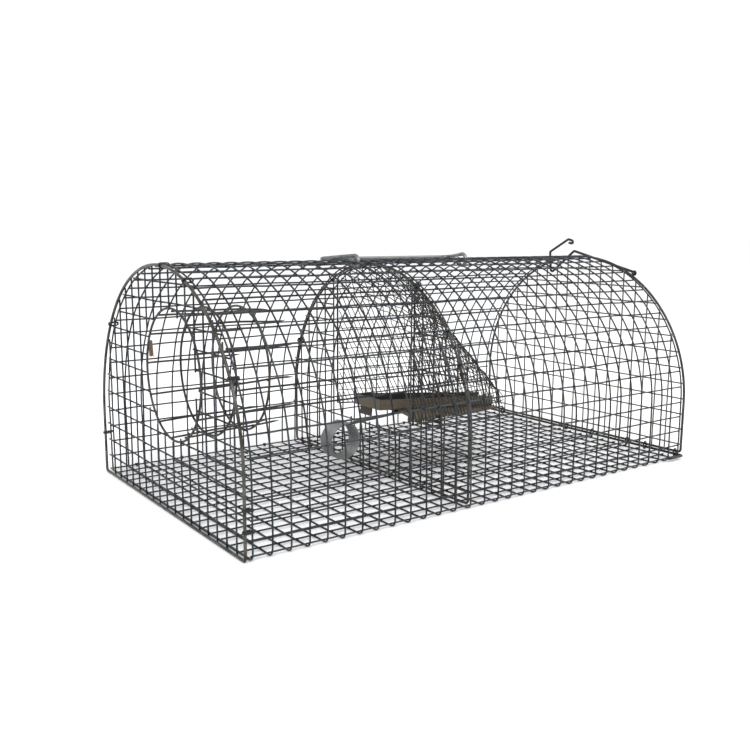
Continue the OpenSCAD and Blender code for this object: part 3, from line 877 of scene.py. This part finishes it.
def build_platform():
    """Plate with drooping wings, and a rolled front edge on each side of the tray."""
    fall = math.tan(math.radians(DROOP))
    rows = []
    for r in range(43):
        x = mix(PLATE_FRONT, PLATE_REAR, r / 42)
        half = plate_half(x)
        row = []
        for c in range(27):
            y = half * (2 * c / 26 - 1)
            drop = fall * max(0.0, abs(y) - CHANNEL_W / 2)
            dent = 0.12 * noise.noise(Vector((x / 14, y / 14, 2)))
            row.append(on_pivot((x, y, DECK_Z + SHEET / 2 - drop + dent)))
        rows.append(row)
    sheet_mesh("platform_deck", rows, SHEET, SHEET_STEEL, "seesaw", "platform_sheet",
               "platform_plate")
    for s in (-1, 1):
        roll = Wires()
        front = plate_half(PLATE_FRONT)
        inner = CHANNEL_W / 2 + 1
        outer = front - 1
        ends = [on_pivot((PLATE_FRONT, s * y, DECK_Z + SHEET / 2 - fall * (y - CHANNEL_W / 2)))
                for y in (inner, outer)]
        roll.wire(straight(*ends, 4), ROLL_D, 10, tone=0.6)
        side = "near" if s < 0 else "far"
        roll.build(f"platform_roll_{side}", SHEET_STEEL, "seesaw", "platform_sheet")


def build_channel():
    """U-shaped tray with rounded folds and a folded front wall."""
    base = DECK_Z + SHEET + GAP + SHEET / 2
    half = CHANNEL_W / 2 - SHEET / 2
    fold = 0.8
    taper = CHANNEL_REAR_W / CHANNEL_W
    section = [(-half, CHANNEL_H - SHEET / 2)]
    section += [(-half, CHANNEL_H * k / 4) for k in (3, 2, 1)]
    for degrees in (0, 30, 60, 90):
        a = math.radians(degrees)
        section.append((-half + fold - fold * math.cos(a), fold - fold * math.sin(a)))
    section += [(half * k / 5, 0) for k in (-4, -3, -2, -1, 0)]
    section += [(-y, z) for y, z in reversed(section[:-1])]
    rows = []
    for r in range(49):
        x = mix(CHANNEL_FRONT + 0.5, PLATE_REAR - 0.2, r / 48)
        narrow = mix(1.0, taper, (x - CHANNEL_FRONT) / (PLATE_REAR - CHANNEL_FRONT))
        row = []
        for y, z in section:
            wall = z / CHANNEL_H
            bow = 0.35 * noise.noise(Vector((x / 22, y, 0))) * wall
            row.append(on_pivot((x, y * narrow + bow, base + z)))
        rows.append(row)
    # The tray's inner faces get the near-black painted-shade material, in place of the shadow inside
    # the tray.
    sheet_mesh("platform_tray", rows, SHEET, SHEET_STEEL, "seesaw", "platform_sheet",
               "platform_channel", inner_face_material=TRAY_PAINTED_SHADE)
    wall = []
    for r in range(6):
        z = mix(0.1, CHANNEL_H - SHEET / 2, r / 5)
        wall.append([on_pivot((CHANNEL_FRONT + SHEET / 2 + 0.02, half * (2 * c / 10 - 1), base + z))
                     for c in range(11)])
    sheet_mesh("platform_tray_wall", wall, SHEET, SHEET_STEEL, "seesaw", "platform_sheet")


def build_counterweight():
    """Close-wound coil on the end of an arm below the plate."""
    mean = COIL_R - COIL_D / 2
    coil = Wires()
    steps = 28
    n = COIL_TURNS * steps
    rise = (COIL_D + 0.1) / steps
    path = []
    for i in range(n + 1):
        a = math.radians(90 + i * 360 / steps)
        path.append(on_pivot((COIL_X + mean * math.cos(a), ARM_Y + i * rise,
                              COIL_Z + mean * math.sin(a))))
    coil.wire(path, COIL_D - 0.25, 12)
    coil.build("coil_weight", COIL_WIRE, "seesaw", "coil_wire", "counterweight_coil")
    arm = Wires()
    arm.wire(straight(on_pivot((COIL_X + 0.3, ARM_Y, COIL_Z + mean)),
                      on_pivot((ARM_END, ARM_Y, ARM_Z)), 5), COIL_D, 10)
    arm.build("coil_arm", COIL_WIRE, "seesaw", "coil_wire", "counterweight_arm")


def eased_sheet(node, material, width=0.12):
    """A copy of a CAD sheet piece on the see-saw, with its sharp edges eased."""
    source = frame["nodes"][node]
    mesh = source.data.copy()
    mesh.name = node + "_sheet"
    mesh.materials.clear()
    mesh.materials.append(material)
    set_tones(mesh, [0.5] * len(mesh.vertices))
    obj = add_piece(node + "_sheet", mesh, "seesaw", (node,))
    edge = obj.modifiers.new("edge", "BEVEL")
    edge.width = width * MM
    edge.segments = 2
    edge.limit_method = "ANGLE"


def build_pivot_rod():
    """Rod across the hood, with its ends bent up and hooked over the hems."""
    t = (pivot.x - HOOD_X) / HOOD_LEN
    hem_y = mix(MOUTH["half"], TIP["half"], t)
    out = hem_y + HEM_D / 2 + PIVOT_D / 2 + 0.3
    top = mix(MOUTH["foot"], TIP["foot"], t) + HEM_D / 2 + PIVOT_D / 2 + 0.3
    x, z = pivot.x, pivot.z
    rod = Wires()
    rod.wire(rounded([(x, -hem_y + 1.5, top), (x, -out, top), (x, -out, z), (x, out, z),
                      (x, out, top), (x, hem_y - 1.5, top)], 1.6, 0.6), PIVOT_D, 10)
    rod.build("pivot_rod_wire", BLACK_WIRE, "cage", "black_wire", "pivot_rod")


# ---- Door and latch ----

def build_hinge_rod():
    """Rod along the foot of the door, with a leg along each side of the barrel."""
    leg_x = X_END - 14
    rod = Wires()
    rod.wire(rounded([(leg_x, -HINGE_Y, HINGE_Z), (DOOR_X, -HINGE_Y, HINGE_Z),
                      (DOOR_X, HINGE_Y, HINGE_Z), (leg_x, HINGE_Y, HINGE_Z)], 2, 0.6),
             HINGE_D, 10, tone=0.4)
    rod.build("hinge_rod_wire", BLACK_WIRE, "cage", "black_wire", "hinge_rod")


def build_door():
    ring = Wires()
    ring.wire(ring_with_bar(DOOR_X, DOOR_R, DOOR_FOOT), DOOR_D, 10, closed=True)
    ring.build("door_ring_wire", FRAME_WIRE, "door", "frame_wire", "door_ring")
    foot = DOOR_FOOT - DOOR_D / 2
    uprights = Wires()
    crosswires = Wires()
    for j in COLUMNS:
        y = j * PITCH
        top = arch_z(DOOR_R + ragged(j, 0.9), y)
        uprights.wire(straight((DOOR_UP_X, y, foot), (DOOR_UP_X, y, top)), MESH_D)
    for k in range(1, ROWS + 1):
        z = k * PITCH
        end = arch_y(DOOR_R + ragged(k, 0.9), z)
        crosswires.wire(straight((DOOR_CROSS_X, -end, z), (DOOR_CROSS_X, end, z)), MESH_D)
        weld_row(crosswires, DOOR_CROSS_X - MESH_D / 2, z,
                 [j * PITCH for j in COLUMNS if abs(j * PITCH) < end])
    uprights.build("door_upright_wires", DOOR_WIRE, "door", "mesh_wire", "door_uprights")
    crosswires.build("door_cross_wires", DOOR_WIRE, "door", "mesh_wire", "door_crosswires")


def build_door_links():
    """Links that go round the hinge rod and the foot of the door's ring."""
    links = Wires()
    r = HINGE_D / 2 + LOOP_GAP + LOOP_D / 2
    for y in LINK_PLACES:
        low = [Vector((DOOR_X + r * math.cos(a), y, HINGE_Z + r * math.sin(a)))
               for a in (math.pi + math.pi * i / 10 for i in range(11))]
        high = [Vector((DOOR_X + r * math.cos(a), y, DOOR_FOOT + r * math.sin(a)))
                for a in (math.pi * i / 10 for i in range(11))]
        links.wire(join_paths(low, high), LOOP_D, 8, closed=True, tone=0.4)
    links.build("door_link_wires", BLACK_WIRE, "door", "black_wire", "door_hinge_loops")


def build_latch():
    """Bent latch wire, and the eye on the door that it turns in."""
    y, z = latch_pivot.y, latch_pivot.z
    bends = [(DOOR_X - 3, y, z), (LATCH_X, y, z)] + [(LATCH_X, *bend) for bend in LATCH_BENDS]
    latch = Wires()
    latch.wire(rounded(bends, 2, 0.6), LATCH_D, 10, tone=0.3)
    latch.build("latch", BLACK_WIRE, "latch", "black_wire", "latch_wire")
    eye = Wires()
    r = LATCH_D / 2 + LOOP_GAP + LOOP_D / 2
    eye.wire(arc_yz(DOOR_X - 0.4, y, z, r, 0, 360, 0.5)[:-1], LOOP_D, 8, closed=True, tone=0.5)
    eye.build("latch_eye_ring", BLACK_WIRE, "door", "black_wire", "latch_eye")


# ---- Handle ----

def build_handle():
    """Bail with an eye at each end, lying on the roof."""
    low, high = box_mm("carry_handle")
    front = low.x + FLARE_FRONT + HANDLE_D / 2
    rear = high.x - FLARE_REAR - HANDLE_D / 2
    z = handle_pivot.z
    top = z + HANDLE_EYE
    bar = z + 1.3
    handle = Wires()
    eyes = [arc_yz(x, 0, z, HANDLE_EYE, 380, -290, 0.9) for x in (front, rear)]
    middle = rounded([(front, 0, top), (front - FLARE_FRONT, HANDLE_REACH, bar),
                      (rear + FLARE_REAR, HANDLE_REACH, bar), (rear, 0, top)], 6, 0.9)
    handle.wire(join_paths(eyes[0], middle, list(reversed(eyes[1]))), HANDLE_D, 12, tone=0.5)
    handle.build("handle", HANDLE_WIRE, "handle", "handle_wire", "carry_handle")


build_barrel()
build_seam_clips()
build_front()
build_front_ties()
build_funnel()
build_tag()
build_partition()
build_hood()
build_platform()
build_channel()
build_counterweight()
eased_sheet("platform_lugs", SHEET_STEEL)
eased_sheet("platform_tab", TAB_STEEL)
build_pivot_rod()
build_hinge_rod()
build_door()
build_door_links()
build_latch()
build_handle()


# ---- Stage, light and camera ----

def build_stage():
    """Pale floor and an even white studio around it."""
    mesh = bpy.data.meshes.new("floor")
    size = 30.0
    mesh.from_pydata([(-size, -size, 0), (size, -size, 0), (size, size, 0), (-size, size, 0)],
                     [], [(0, 1, 2, 3)])
    mat = bpy.data.materials.new("floor")
    mat.use_nodes = True
    shader = mat.node_tree.nodes["Principled BSDF"]
    shader.inputs["Base Color"].default_value = (0.97, 0.97, 0.97, 1)
    shader.inputs["Roughness"].default_value = 1.0
    mesh.materials.append(mat)
    floor = bpy.data.objects.new("floor", mesh)
    bpy.context.scene.collection.objects.link(floor)
    world = bpy.data.worlds.new("studio")
    world.use_nodes = True
    world.node_tree.nodes["Background"].inputs["Color"].default_value = (1, 1, 1, 1)
    world.node_tree.nodes["Background"].inputs["Strength"].default_value = 1.05
    bpy.context.scene.world = world
    bpy.context.scene.view_settings.view_transform = "Standard"


def add_area(name, place, target, size, energy):
    light = bpy.data.lights.new(name, "AREA")
    light.energy = energy
    light.size = size
    obj = bpy.data.objects.new(name, light)
    bpy.context.scene.collection.objects.link(obj)
    obj.location = place
    obj.rotation_euler = (Vector(target) - Vector(place)).to_track_quat("-Z", "Y").to_euler()


def build_camera():
    """The camera stands in front of the near left corner, just above the roof's height."""
    yaw, pitch, roll = (math.radians(a) for a in CAMERA_TURN)
    level = math.cos(pitch)
    ahead = Vector((level * math.cos(yaw), level * math.sin(yaw), math.sin(pitch)))
    right = Vector((math.sin(yaw), -math.cos(yaw), 0))
    up = right.cross(ahead)
    right, up = (right * math.cos(roll) + up * math.sin(roll),
                 up * math.cos(roll) - right * math.sin(roll))
    camera = bpy.data.cameras.new("camera")
    camera.lens = CAMERA_LENS
    camera.sensor_width = 36.0
    camera.clip_end = 200
    obj = bpy.data.objects.new("camera", camera)
    bpy.context.scene.collection.objects.link(obj)
    turn = Matrix((right, up, -ahead)).transposed().to_4x4()
    obj.matrix_world = Matrix.Translation(CAMERA_PLACE) @ turn
    bpy.context.scene.camera = obj


build_stage()
add_area("key", (-0.9, -1.2, 1.6), (0, 0, 0.05), 1.4, 22)
add_area("fill", (1.4, -0.6, 1.1), (0, 0, 0.05), 1.4, 9)
build_camera()
